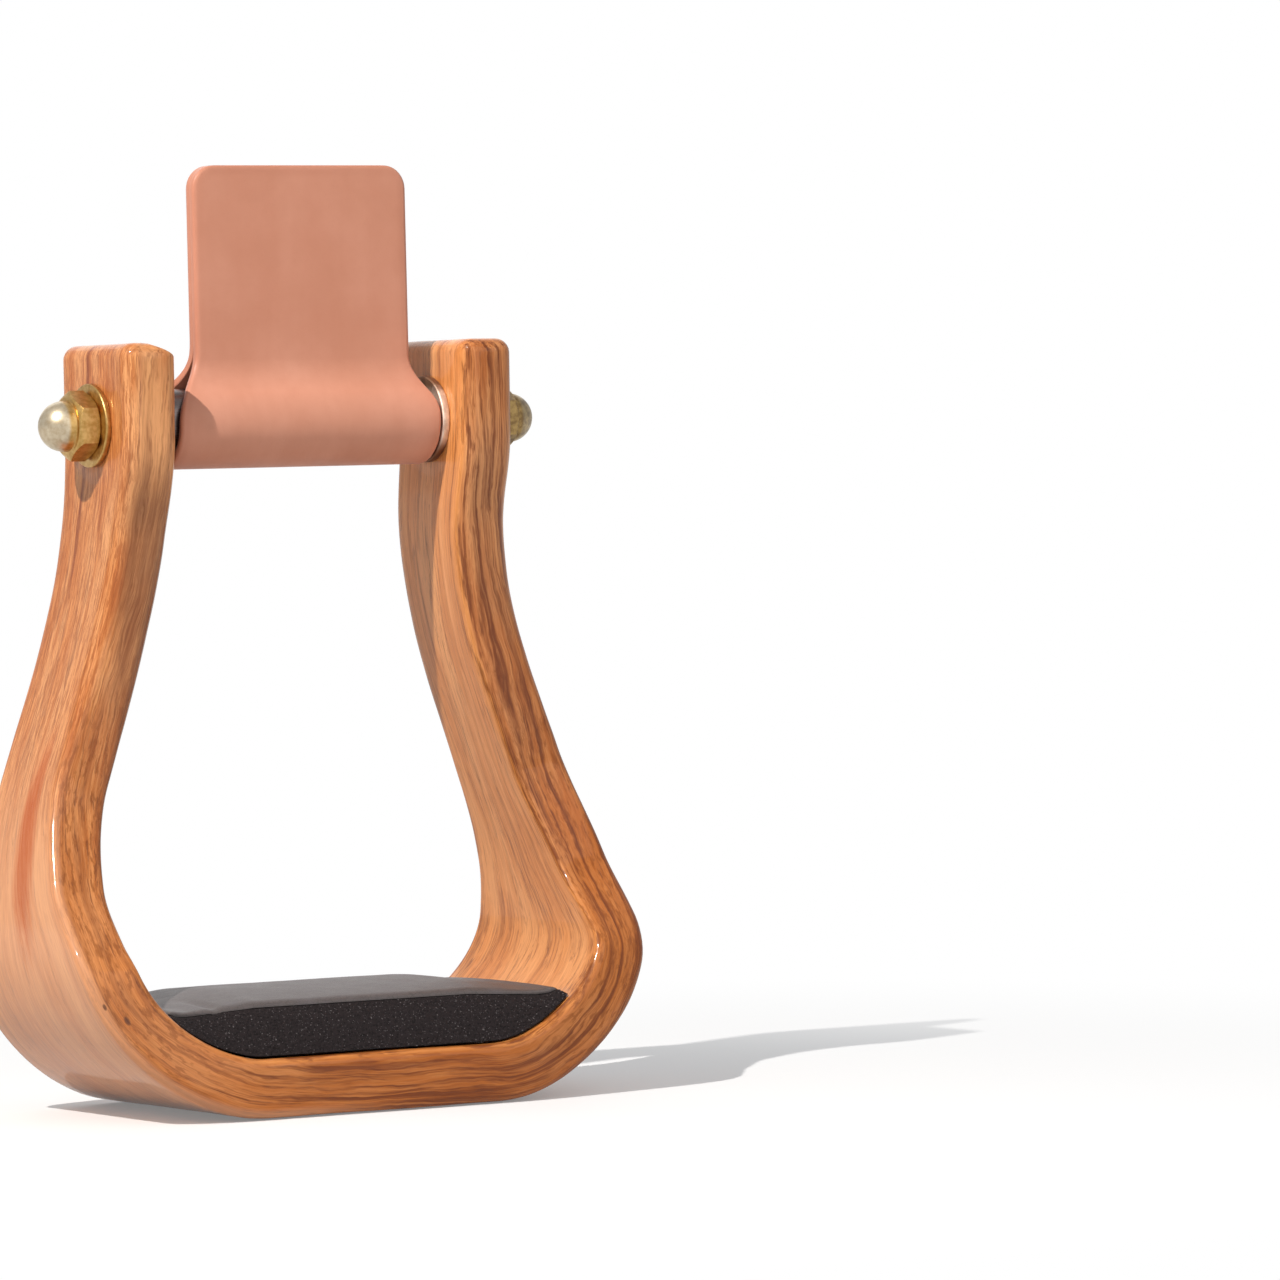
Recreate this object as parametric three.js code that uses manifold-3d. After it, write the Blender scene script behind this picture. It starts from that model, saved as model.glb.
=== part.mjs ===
// A western stirrup: a bent oak bow with a padded tread, hung on a leather covered top bar.
// Millimetres, +Z up, X along the top bar, the front of the tread towards -Y.
// The origin is the middle of the tread's underside.
import * as THREE from 'three';
import { mergeVertices } from 'three/addons/utils/BufferGeometryUtils.js';
import Module from 'manifold-3d';

const wasm = await Module();
wasm.setup();

// The oak bow
const bowHeight = 180;
const woodThickness = 14;
const neckGap = 76;
const bendGap = 123;
const widestHeight = 41;
const neckStraight = 33;
const treadFlat = 60;
const headDepth = 36;
const treadDepth = 76;
const barSetback = 2;
const barDrop = 19;
const headEdgeRadius = 4;
const lowerEdgeRadius = 2.2;
const headEndRadius = 3.5;

// Reach of the bow's front and back edges from the bar's plane, at shares of the way from a
// head to the middle of the tread
const neckFront = 9.3;
const neckBack = 22;
const bendFront = 35.3;
const bendBack = 25.5;

// The bar through the heads
const rodDiameter = 9.5;
const rodClearance = 0.3;
const nutAcrossFlats = 14.3;
const nutHexHeight = 5.4;
const nutDomeRadius = 5.9;
const nutHeight = 12.1;
const nutBoreDepth = 7.6;
const rodEndGap = 0.4;
const outerWasherDiameter = 19.6;
const outerWasherThickness = 1.5;
const innerWasherDiameter = 20.6;
const innerWasherThickness = 2;
const tubeDiameter = 16.5;
const tubeWall = 3;
const endPlay = 0.3;
const seatGap = 0.3;

// The leather cover, folded round the tube
const leatherThickness = 2.1;
const leatherClearance = 0.3;
const coverPlay = 1.6;
const coverShift = 1.2;
const flapWidth = 55.6;
const flapHeight = 60.5;
const flapCornerRadius = 4.7;
const flapLean = -2.7;
const foldRadius = 12;
const shoulderHeight = 16.5;

// The tread pad: its top runs level over the middle and falls to thin ends on the bends
const padLength = 114;
const padThickness = 12.4;
const padEndThickness = 2.4;
const padLevel = 52;
const padEndDrop = 2.6;
const padEdgeMargin = 3;
const padBevel = 8;
const padCrown = 2.1;
const skinThickness = 1.2;

const barY = barSetback;
const barZ = bowHeight - barDrop;
const neckX = (neckGap + woodThickness) / 2;
const widestX = (bendGap + woodThickness) / 2;
const rodRadius = rodDiameter / 2;
const boreRadius = rodRadius + rodClearance;
const outerFaceX = neckGap / 2 + woodThickness;

const oak = new THREE.MeshStandardMaterial({ color: 0xc98650, roughness: 0.25, metalness: 0 });
const foam = new THREE.MeshStandardMaterial({ color: 0x2b2929, roughness: 0.95, metalness: 0 });
const skinBlack = new THREE.MeshStandardMaterial({ color: 0x454247, roughness: 0.6, metalness: 0 });
const brass = new THREE.MeshStandardMaterial({ color: 0xc4ac80, roughness: 0.3, metalness: 1 });
const steel = new THREE.MeshStandardMaterial({ color: 0x9aa0a8, roughness: 0.35, metalness: 1 });
const leather = new THREE.MeshStandardMaterial({ color: 0xd8947a, roughness: 0.55, metalness: 0 });

const stirrup = new THREE.Group();

function addPiece(name, geometry, material) {
  const mesh = new THREE.Mesh(geometry, material);
  mesh.name = name;
  stirrup.add(mesh);
  return mesh;
}

function toSolid(geometry) {
  const bare = geometry.clone();
  bare.deleteAttribute('normal');
  bare.deleteAttribute('uv');
  const merged = mergeVertices(bare, 1e-4);
  return new wasm.Manifold(new wasm.Mesh({
    numProp: 3,
    vertProperties: new Float32Array(merged.attributes.position.array),
    triVerts: new Uint32Array(merged.index.array),
  }));
}

function toGeometry(solid) {
  const mesh = solid.getMesh();
  const geometry = new THREE.BufferGeometry();
  geometry.setAttribute('position', new THREE.BufferAttribute(mesh.vertProperties, 3));
  geometry.setIndex(new THREE.BufferAttribute(mesh.triVerts, 1));
  return geometry;
}

// A closed body through rings of points, all with the same count, with both ends capped by a fan
function loft(rings) {
  const count = rings[0].length;
  const positions = rings.flat().flatMap((point) => [point.x, point.y, point.z]);
  const index = [];
  for (let ring = 0; ring < rings.length - 1; ring += 1) {
    for (let side = 0; side < count; side += 1) {
      const next = (side + 1) % count;
      const a = ring * count + side;
      const b = ring * count + next;
      index.push(a, b, b + count, a, b + count, a + count);
    }
  }
  for (const [ring, flip] of [[0, true], [rings.length - 1, false]]) {
    const middle = new THREE.Vector3();
    rings[ring].forEach((point) => middle.addScaledVector(point, 1 / count));
    const centre = positions.length / 3;
    positions.push(middle.x, middle.y, middle.z);
    for (let side = 0; side < count; side += 1) {
      const a = ring * count + side;
      const b = ring * count + ((side + 1) % count);
      index.push(...(flip ? [centre, b, a] : [centre, a, b]));
    }
  }
  const geometry = new THREE.BufferGeometry();
  geometry.setAttribute('position', new THREE.Float32BufferAttribute(positions, 3));
  geometry.setIndex(index);
  return geometry;
}

// A smooth curve through stations [place, value], which never swings past its own values
function through(stations, place) {
  const last = stations.length - 1;
  if (place <= stations[0][0]) return stations[0][1];
  if (place >= stations[last][0]) return stations[last][1];
  const slope = (k) => (stations[k + 1][1] - stations[k][1]) / (stations[k + 1][0] - stations[k][0]);
  const lean = (k) => {
    if (k === 0 || k === last) return 0;
    const before = slope(k - 1);
    const after = slope(k);
    return before * after <= 0 ? 0 : (2 * before * after) / (before + after);
  };
  let k = 0;
  while (place > stations[k + 1][0]) k += 1;
  const width = stations[k + 1][0] - stations[k][0];
  const t = (place - stations[k][0]) / width;
  const rise = t * t * (3 - 2 * t);
  return stations[k][1] * (1 - rise) + stations[k + 1][1] * rise
    + width * t * (1 - t) * ((1 - t) * lean(k) - t * lean(k + 1));
}

// The bow's centre line, from the right head down to the middle of the tread, as points (x, z)
const bendReach = 0.45;
const legReach = 0.42;
function halfLine() {
  const treadZ = woodThickness / 2;
  const neckEnd = bowHeight - neckStraight;
  const bendWidth = widestX - treadFlat / 2;
  const bendHeight = widestHeight - treadZ;
  const legHeight = neckEnd - widestHeight;
  const line = new THREE.Path();
  line.moveTo(neckX, bowHeight);
  line.lineTo(neckX, neckEnd);
  line.bezierCurveTo(
    neckX, neckEnd - legReach * legHeight,
    widestX, widestHeight + legReach * 0.78 * legHeight,
    widestX, widestHeight,
  );
  line.bezierCurveTo(
    widestX, widestHeight - 1.2 * bendReach * bendHeight,
    treadFlat / 2 + bendReach * bendWidth, treadZ,
    treadFlat / 2, treadZ,
  );
  line.lineTo(0, treadZ);
  return line;
}

const half = halfLine();
const halfLength = half.getLength();
const treadFront = treadDepth / 2 + barSetback;
const treadBack = treadDepth / 2 - barSetback;
const frontEdge = [
  [0, headDepth / 2], [0.1, headDepth / 2 - 0.3], [0.2, neckFront + 2.8], [0.32, neckFront],
  [0.45, neckFront - 0.3], [0.56, neckFront + 0.33 * (bendFront - neckFront)], [0.66, bendFront],
  [0.76, treadFront - 2], [0.86, treadFront],
];
const backEdge = [
  [0, headDepth / 2], [0.1, headDepth / 2], [0.2, neckBack - 1.5], [0.32, neckBack],
  [0.45, neckBack], [0.56, neckBack + 0.5], [0.66, bendBack],
  [0.76, bendBack + 0.35 * (treadBack - bendBack)], [0.86, treadBack - 1.5], [0.96, treadBack],
];
const edgeRadius = [[0, headEdgeRadius], [0.25, headEdgeRadius], [0.5, lowerEdgeRadius], [1, lowerEdgeRadius]];

// One place on the centre line: share runs 0 at a head, 1 in the middle of the tread; side is 1 or -1
function placeOn(share, side) {
  const point = half.getPointAt(share);
  const tangent = half.getTangentAt(share);
  return {
    x: side * point.x,
    z: point.y,
    outX: side * -tangent.y,
    outZ: tangent.x,
    alongX: side * tangent.x,
    alongZ: tangent.y,
    front: through(frontEdge, share),
    back: through(backEdge, share),
    radius: through(edgeRadius, share),
  };
}

// A ring of the bow's section: a rectangle with rounded corners, pulled in by inset all round
const cornerSteps = 3;
function bowRing(place, inset, slide) {
  const outer = woodThickness / 2 - inset;
  const front = barY - place.front + inset;
  const back = barY + place.back - inset;
  const radius = Math.max(place.radius - inset, 0.6);
  const corners = [
    [outer - radius, back - radius, 0], [-outer + radius, back - radius, 1],
    [-outer + radius, front + radius, 2], [outer - radius, front + radius, 3],
  ];
  const ring = [];
  for (const [across, deep, quarter] of corners) {
    for (let step = 0; step <= cornerSteps; step += 1) {
      const angle = (quarter + step / cornerSteps) * Math.PI / 2;
      const n = across + radius * Math.cos(angle);
      const y = deep + radius * Math.sin(angle);
      ring.push(new THREE.Vector3(
        place.x + place.outX * n - place.alongX * slide,
        y,
        place.z + place.outZ * n - place.alongZ * slide,
      ));
    }
  }
  return ring;
}

function headRings(side) {
  const rings = [];
  for (let step = 0; step < 3; step += 1) {
    const angle = (step / 3) * Math.PI / 2;
    const inset = headEndRadius * (1 - Math.sin(angle));
    const place = placeOn(0, side);
    rings.push(bowRing(place, inset, -headEndRadius * (1 - Math.cos(angle))));
  }
  return rings;
}

function makeBow() {
  const legRings = 42;
  const start = headEndRadius / halfLength;
  const right = headRings(1);
  for (let k = 0; k <= legRings; k += 1) {
    right.push(bowRing(placeOn(start + (1 - start) * (k / legRings), 1), 0, 0));
  }
  const mirror = (ring) => ring.map((point) => new THREE.Vector3(-point.x, point.y, point.z));
  const left = right.slice(0, -1).map(mirror);
  let bow = toSolid(loft([...left, ...right.reverse()]));
  const drill = new THREE.CylinderGeometry(boreRadius, boreRadius, 3 * outerFaceX, 24);
  drill.rotateZ(Math.PI / 2);
  drill.translate(0, barY, barZ);
  bow = bow.subtract(toSolid(drill));
  return toGeometry(bow);
}

// The bar: rod, washers, nuts and the tube that turns on the rod
function ringGeometry(outerRadius, innerRadius, fromX, toX, steps) {
  const low = Math.min(fromX, toX);
  const high = Math.max(fromX, toX);
  const edge = Math.min(0.25, (high - low) / 5);
  const profile = [
    [innerRadius, low], [outerRadius - edge, low], [outerRadius, low + edge],
    [outerRadius, high - edge], [outerRadius - edge, high], [innerRadius, high], [innerRadius, low],
  ].map(([radius, height]) => new THREE.Vector2(radius, height));
  const geometry = new THREE.LatheGeometry(profile, steps);
  geometry.rotateZ(-Math.PI / 2);
  geometry.translate(0, barY, barZ);
  return geometry;
}

const nutBaseX = outerFaceX + outerWasherThickness;
const rodEndX = nutBaseX + nutBoreDepth - rodEndGap;

function makeRod() {
  const bevel = 0.6;
  const profile = [
    [0, -rodEndX], [rodRadius - bevel, -rodEndX], [rodRadius, -rodEndX + bevel],
    [rodRadius, rodEndX - bevel], [rodRadius - bevel, rodEndX], [0, rodEndX],
  ].map(([radius, height]) => new THREE.Vector2(radius, height));
  const geometry = new THREE.LatheGeometry(profile, 24);
  geometry.rotateZ(-Math.PI / 2);
  geometry.translate(0, barY, barZ);
  return geometry;
}

// A domed nut: a hexagon with its corners turned off, under a round cap, over a blind hole
function makeNut(side) {
  const cornerRadius = nutAcrossFlats / 2 / Math.cos(Math.PI / 6);
  const hexagon = new THREE.CylinderGeometry(cornerRadius, cornerRadius, nutHexHeight, 6);
  hexagon.translate(0, nutHexHeight / 2, 0);
  const chamfer = [[0, 0], [nutAcrossFlats / 2 - 0.1, 0], [nutAcrossFlats / 2 + 0.8, 0.55]];
  chamfer.push([nutAcrossFlats / 2 + 0.8, nutHexHeight - 0.75], [nutAcrossFlats / 2 - 0.3, nutHexHeight]);
  chamfer.push([0, nutHexHeight]);
  const turned = new THREE.LatheGeometry(chamfer.map(([r, h]) => new THREE.Vector2(r, h)), 36);
  const centre = nutHeight - nutDomeRadius;
  const dome = [new THREE.Vector2(0, nutHexHeight - 0.5), new THREE.Vector2(nutDomeRadius, nutHexHeight - 0.5)];
  const domeSteps = 6;
  for (let step = 0; step < domeSteps; step += 1) {
    const angle = (step / domeSteps) * Math.PI / 2;
    dome.push(new THREE.Vector2(nutDomeRadius * Math.cos(angle), centre + nutDomeRadius * Math.sin(angle)));
  }
  dome.push(new THREE.Vector2(0, nutHeight));
  const cap = new THREE.LatheGeometry(dome, 30);
  const bore = new THREE.CylinderGeometry(boreRadius, boreRadius, nutBoreDepth + 1, 24);
  bore.translate(0, (nutBoreDepth - 1) / 2, 0);
  const nut = toSolid(hexagon).intersect(toSolid(turned)).add(toSolid(cap)).subtract(toSolid(bore));
  const geometry = toGeometry(nut);
  geometry.rotateZ(-side * Math.PI / 2);
  geometry.translate(side * nutBaseX, barY, barZ);
  return geometry;
}

const innerFaceX = neckGap / 2;
const coverWidth = 2 * (innerFaceX - innerWasherThickness - coverPlay);
const tubeInnerRadius = tubeDiameter / 2 - tubeWall;
const tubeEndX = innerFaceX - innerWasherThickness - endPlay;

// The leather cover: a keyhole of one strip, seen from its end, cut to the shape of its front
function addArc(path, x, y, radius, from, to) {
  path.absarc(x, y, radius, from, to, to < from);
}

function coverLoop() {
  const inner = tubeDiameter / 2 + leatherClearance;
  const outer = inner + leatherThickness;
  const tight = foldRadius;
  const wide = foldRadius + leatherThickness;
  const frontFace = flapLean - leatherThickness;
  const backFace = flapLean + leatherThickness;
  // Each fillet's centre is where it touches both the roll and its side of the flap
  const frontY = frontFace - tight;
  const frontZ = Math.sqrt((outer + tight) ** 2 - frontY ** 2);
  const backY = backFace + tight;
  const backZ = Math.sqrt((outer + tight) ** 2 - backY ** 2);
  const frontAngle = Math.atan2(-frontZ, -frontY);
  const backAngle = Math.atan2(-backZ, -backY);
  const rollFront = Math.atan2(frontZ, frontY);
  const rollBack = Math.atan2(backZ, backY);
  const loop = new THREE.Shape();
  loop.moveTo(frontFace, flapHeight);
  loop.lineTo(frontFace, frontZ);
  addArc(loop, frontY, frontZ, tight, 0, frontAngle);
  addArc(loop, 0, 0, outer, rollFront, rollBack + 2 * Math.PI);
  addArc(loop, backY, backZ, tight, backAngle + 2 * Math.PI, Math.PI);
  loop.lineTo(backFace, flapHeight);
  loop.closePath();
  const eye = new THREE.Path();
  eye.moveTo(flapLean, backZ);
  eye.lineTo(flapLean, frontZ);
  addArc(eye, frontY, frontZ, wide, 0, frontAngle);
  addArc(eye, 0, 0, inner, rollFront, rollBack + 2 * Math.PI);
  addArc(eye, backY, backZ, wide, backAngle + 2 * Math.PI, Math.PI);
  eye.closePath();
  loop.holes.push(eye);
  return loop;
}

function coverFront() {
  const roll = coverWidth / 2;
  const flap = flapWidth / 2;
  const low = -(tubeDiameter / 2 + leatherClearance + 2 * leatherThickness);
  const waist = 0.6 * shoulderHeight;
  const top = flapHeight;
  const round = flapCornerRadius;
  const front = new THREE.Shape();
  front.moveTo(-roll, low);
  front.lineTo(roll, low);
  front.lineTo(roll, 0);
  front.bezierCurveTo(roll, 0.8 * waist, flap, waist, flap, shoulderHeight);
  front.lineTo(flap, top - round);
  addArc(front, flap - round, top - round, round, 0, Math.PI / 2);
  front.lineTo(-flap + round, top);
  addArc(front, -flap + round, top - round, round, Math.PI / 2, Math.PI);
  front.lineTo(-flap, shoulderHeight);
  front.bezierCurveTo(-flap, waist, -roll, 0.8 * waist, -roll, 0);
  front.closePath();
  return front;
}

function makeCover() {
  const strip = new THREE.ExtrudeGeometry(coverLoop(), {
    depth: 1.2 * coverWidth, bevelEnabled: false, curveSegments: 18,
  });
  // Shape x is depth, shape y is height: turn the extrusion so that its length lies along X
  strip.applyMatrix4(new THREE.Matrix4().makeBasis(
    new THREE.Vector3(0, 1, 0), new THREE.Vector3(0, 0, 1), new THREE.Vector3(1, 0, 0),
  ));
  strip.translate(-0.6 * coverWidth, 0, 0);
  const outline = new THREE.ExtrudeGeometry(coverFront(), {
    depth: coverWidth, bevelEnabled: false, curveSegments: 8,
  });
  outline.rotateX(Math.PI / 2);
  outline.translate(0, coverWidth / 2, 0);
  const geometry = toGeometry(toSolid(strip).intersect(toSolid(outline)));
  geometry.translate(coverShift, barY, barZ);
  return geometry;
}

// The tread pad follows the inner face of the wood. Along is measured from the middle of the
// tread on that face, and the pad thins to a feather edge at both ends
const innerFace = [];
const innerSteps = 400;
for (let step = 0; step <= innerSteps; step += 1) {
  const share = 1 - 0.5 * (step / innerSteps);
  const place = placeOn(share, 1);
  const x = place.x - place.outX * woodThickness / 2;
  const z = place.z - place.outZ * woodThickness / 2;
  const last = innerFace[innerFace.length - 1];
  const run = last ? last.run + Math.hypot(x - last.x, z - last.z) : 0;
  innerFace.push({ run, x, z, outX: place.outX, outZ: place.outZ, front: place.front, back: place.back });
}

function onInnerFace(along) {
  const run = Math.abs(along);
  const side = Math.sign(along) || 1;
  let k = 1;
  while (k < innerSteps && innerFace[k].run < run) k += 1;
  const a = innerFace[k - 1];
  const b = innerFace[k];
  const t = (run - a.run) / (b.run - a.run);
  const mix = (name) => a[name] + (b[name] - a[name]) * t;
  return {
    x: side * mix('x'),
    z: mix('z'),
    outX: side * mix('outX'),
    outZ: mix('outZ'),
    front: mix('front'),
    back: mix('back'),
  };
}

// The height of the top's long edges above the tread's underside, at one place across the tread
function padTop(x) {
  const past = Math.max(Math.abs(x) - padLevel / 2, 0) / ((padLength - padLevel) / 2);
  return woodThickness + padThickness - padEndDrop * past ** 1.2;
}

// No thinner than the ends, with an eased change where the top runs out into them
function easedThickness(thickness) {
  const past = thickness - padEndThickness;
  return padEndThickness + (past + Math.hypot(past, padEndThickness)) / 2;
}

// How thick the pad is there, square to the wood, so that its top lies at that height
function padDepth(place) {
  let thickness = padThickness;
  for (let turn = 0; turn < 8; turn += 1) {
    const gap = padTop(place.x - place.outX * thickness) - place.z;
    thickness = Math.min(easedThickness(-gap / place.outZ), padThickness);
  }
  return thickness;
}

// The pad's section at one place: its bottom on the wood, bevelled long sides and a low crown
function padSection(along) {
  const place = onInnerFace(along);
  const total = padDepth(place);
  const share = total / padThickness;
  const front = barY - place.front + padEdgeMargin;
  const back = barY + place.back - padEdgeMargin;
  return { place, total, front, back, bevel: padBevel * share, crown: padCrown * share };
}

function padPoint(section, y, height) {
  const { place } = section;
  return new THREE.Vector3(place.x - place.outX * height, y, place.z - place.outZ * height);
}

const crownSteps = 8;
function crownLine(section, top) {
  const { front, back, bevel, crown } = section;
  const line = [];
  for (let step = 0; step <= crownSteps; step += 1) {
    const share = step / crownSteps;
    const y = front + bevel + (back - front - 2 * bevel) * share;
    line.push([y, top + crown * (1 - (2 * share - 1) ** 2)]);
  }
  return line;
}

function coreRing(along) {
  const section = padSection(along);
  const top = section.total - skinThickness - seatGap;
  const lean = section.bevel * (top / section.total);
  const rest = { ...section, bevel: lean };
  const ring = crownLine(rest, top).map(([y, height]) => padPoint(section, y, height));
  ring.unshift(padPoint(section, section.front, seatGap));
  ring.push(padPoint(section, section.back, seatGap));
  return ring;
}

function skinRing(along) {
  const section = padSection(along);
  const over = crownLine(section, section.total);
  const under = crownLine(section, section.total - skinThickness).reverse();
  return [...over, ...under].map(([y, height]) => padPoint(section, y, height));
}

// From the right end to the left, closer together where the pad thins
function padStations() {
  const stations = [];
  const slices = 28;
  for (let step = 0; step <= slices; step += 1) stations.push((0.5 - step / slices) * padLength);
  return stations;
}

addPiece('bow', makeBow(), oak);
addPiece('tread_pad_core', loft(padStations().map(coreRing)), foam);
addPiece('tread_pad_skin', loft(padStations().map(skinRing)), skinBlack);
addPiece('axle_rod', makeRod(), steel);
addPiece('left_acorn_nut', makeNut(-1), brass);
addPiece('right_acorn_nut', makeNut(1), brass);
for (const [name, side] of [['left', -1], ['right', 1]]) {
  const outerSeat = side * outerFaceX;
  const innerSeat = side * innerFaceX;
  addPiece(`${name}_brass_washer`, ringGeometry(
    outerWasherDiameter / 2, boreRadius, outerSeat, outerSeat + side * outerWasherThickness, 36,
  ), brass);
  addPiece(`${name}_steel_washer`, ringGeometry(
    innerWasherDiameter / 2, boreRadius, innerSeat, innerSeat - side * innerWasherThickness, 40,
  ), steel);
}
addPiece('roller_tube', ringGeometry(tubeDiameter / 2, tubeInnerRadius, -tubeEndX, tubeEndX, 40), steel);
addPiece('leather_cover', makeCover(), leather);

export default stirrup;
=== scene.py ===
from math import acos, atan2, cos, exp, hypot, pi, radians, sin, sqrt, tan
from types import SimpleNamespace as Measures

import bmesh
import bpy
import numpy as np
from mathutils import Matrix, Vector, noise


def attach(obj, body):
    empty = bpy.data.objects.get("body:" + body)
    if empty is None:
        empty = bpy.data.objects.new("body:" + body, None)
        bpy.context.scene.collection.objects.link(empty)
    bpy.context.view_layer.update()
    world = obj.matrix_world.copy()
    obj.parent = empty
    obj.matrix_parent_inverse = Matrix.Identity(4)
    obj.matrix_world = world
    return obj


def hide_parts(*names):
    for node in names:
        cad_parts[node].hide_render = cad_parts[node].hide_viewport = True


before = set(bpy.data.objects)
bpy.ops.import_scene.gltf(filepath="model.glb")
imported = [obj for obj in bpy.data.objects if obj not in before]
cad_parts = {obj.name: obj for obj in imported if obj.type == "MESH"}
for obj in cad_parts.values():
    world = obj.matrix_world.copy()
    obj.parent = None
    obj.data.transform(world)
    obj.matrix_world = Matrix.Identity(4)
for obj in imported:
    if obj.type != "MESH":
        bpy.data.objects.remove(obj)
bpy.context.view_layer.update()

# Lengths are in millimetres until they go into a mesh. X runs along the bar to the right leg,
# Y from the front edge to the back, and Z up from the tread. The bar lies at BAR_Y, BAR_Z.
MM = 0.001
BAR_Y, BAR_Z = 2.0, 161.0


def colour(*screen):
    """A screen colour, 0 to 255, as the linear colour that a shader takes."""
    shares = (value / 255 for value in screen)
    return (*(s / 12.92 if s <= 0.04045 else ((s + 0.055) / 1.055) ** 2.4 for s in shares), 1.0)


# Node trees

class Wire:
    """A socket of a node tree, so that sums on it can be written as Python."""

    def __init__(self, tree, socket):
        self.tree, self.socket = tree, socket

    def sum(self, operation, *values, **settings):
        return self.tree.node("ShaderNodeMath", values, operation=operation, **settings)

    def __add__(self, other):
        return self.sum("ADD", self, other)

    def __sub__(self, other):
        return self.sum("SUBTRACT", self, other)

    def __rsub__(self, other):
        return self.sum("SUBTRACT", other, self)

    def __mul__(self, other):
        return self.sum("MULTIPLY", self, other)

    def __truediv__(self, other):
        return self.sum("DIVIDE", self, other)

    def __rtruediv__(self, other):
        return self.sum("DIVIDE", other, self)

    def __pow__(self, other):
        return self.sum("POWER", self, other)

    __radd__, __rmul__ = __add__, __mul__

    def held(self):
        """The value, kept between 0 and 1."""
        return self.sum("ADD", self, 0.0, use_clamp=True)

    def least(self, other):
        return self.sum("MINIMUM", self, other)

    def most(self, other):
        return self.sum("MAXIMUM", self, other)

    def part(self):
        """What the value has above a whole number."""
        return self.sum("FRACT", self)

    def size(self):
        return self.sum("ABSOLUTE", self)

    def step(self, low, high):
        """0 below low, 1 above high, and a smooth rise between."""
        return self.tree.node("ShaderNodeMapRange", {
            "Value": self, "From Min": low, "From Max": high}, interpolation_type="SMOOTHSTEP")


class Tree:
    """A node tree: node() makes any node, with its settings first and then its sockets."""

    def __init__(self, tree):
        self.tree = tree

    def node(self, kind, inputs=(), output=0, **settings):
        made = self.tree.nodes.new(kind)
        for key, value in settings.items():
            setattr(made, key, value)
        for key, value in inputs.items() if isinstance(inputs, dict) else enumerate(inputs):
            if isinstance(value, Wire):
                self.tree.links.new(value.socket, made.inputs[key])
            else:
                made.inputs[key].default_value = value
        return Wire(self, made.outputs[output]) if len(made.outputs) else None

    def split(self, vector):
        return [self.node("ShaderNodeSeparateXYZ", [vector], axis) for axis in range(3)]

    def join(self, x, y, z):
        return self.node("ShaderNodeCombineXYZ", [x, y, z])

    def stretch(self, vector, x, y, z):
        return self.node("ShaderNodeVectorMath", [vector, (x, y, z)], operation="MULTIPLY")

    def scaled(self, vector, value):
        return self.node("ShaderNodeVectorMath", {
            "Vector": vector, "Scale": value}, operation="SCALE")

    def shift(self, vector, other):
        return self.node("ShaderNodeVectorMath", [vector, other], operation="ADD")

    def blend(self, share, *colours):
        """A share of the second colour in the first. Three plain numbers are a screen colour.
        The Mix node's sockets 6 and 7 take colours, and 2 gives one."""
        first, second = (
            colour(*c) if isinstance(c, tuple) and len(c) == 3 else c for c in colours)
        return self.node("ShaderNodeMix", {0: share, 6: first, 7: second}, 2, data_type="RGBA")

    def coats(self, ground, *layers):
        """Colours laid on a ground one after the other, each by its own share."""
        for share, shade in layers:
            ground = self.blend(share, ground, shade)
        return ground

    def cloud(self, vector, scale=1.0, detail=2.0, roughness=0.5):
        """Smooth noise, about 0 to 1; three scales draw it out by axis."""
        if isinstance(scale, tuple):
            vector, scale = self.stretch(vector, *scale), 1.0
        return self.node("ShaderNodeTexNoise", {
            "Vector": vector, "Scale": scale, "Detail": detail, "Roughness": roughness})

    def cells(self, vector, scale=1.0, feature="F1"):
        """How far a point is from the nearest cell's middle, or from its edge."""
        return self.node("ShaderNodeTexVoronoi", {
            "Vector": vector, "Scale": scale}, feature=feature)

    def seen(self, shiny=1.0):
        """1 for what the camera sees straight on, and a share of that for what gloss mirrors."""
        camera, gloss = (self.node("ShaderNodeLightPath", (), f"Is {kind} Ray")
                         for kind in ("Camera", "Glossy"))
        return camera.most(gloss * shiny)


class Finish(Tree):
    """A material's tree, from the first pattern to the output."""

    def __init__(self, name):
        self.material = bpy.data.materials.new(name)
        self.material.use_nodes = True
        super().__init__(self.material.node_tree)
        self.tree.nodes.clear()

    def attribute(self, name, output):
        return self.node("ShaderNodeAttribute", (), output, attribute_name=name)

    def place(self):
        """The point on the piece, in millimetres."""
        return self.stretch(self.node("ShaderNodeTexCoord", (), "Object"), 1000, 1000, 1000)

    def bump(self, height, depth):
        """Height, about 0 to 1, raised by depth in millimetres."""
        return self.node("ShaderNodeBump", {
            "Strength": 1.0, "Distance": depth * MM, "Height": height})

    def shader(self, **values):
        """A Principled shader, its sockets filled by name."""
        return self.node("ShaderNodeBsdfPrincipled", {
            name.replace("_", " "): value for name, value in values.items()})

    def ended(self, shader=None, **values):
        """The finished material, which ends in the given shader or in a Principled one."""
        self.node("ShaderNodeOutputMaterial", [shader or self.shader(**values)])
        return self.material


# Finishes. The wood and the leather are painted on their straight board and flat strip: along
# counts from the middle of the tread, negative on the left, where -110 is above the bend and
# -228 is the head's end; thick grows outwards, and wide from the front edge, -38, to the back.

RING_WIDTH = 2.3
STAIN_ALONG, STAIN_WIDE, STAIN_LENGTH, STAIN_WIDTH, STAIN_LEAN = -109.0, -9.0, 26.0, 10.0, 0.3
KNOTS = ((-70.0, 2.2, 0.6), (-75.0, 5.2, 0.25))
DOME_POLISH = 60.6


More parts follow.
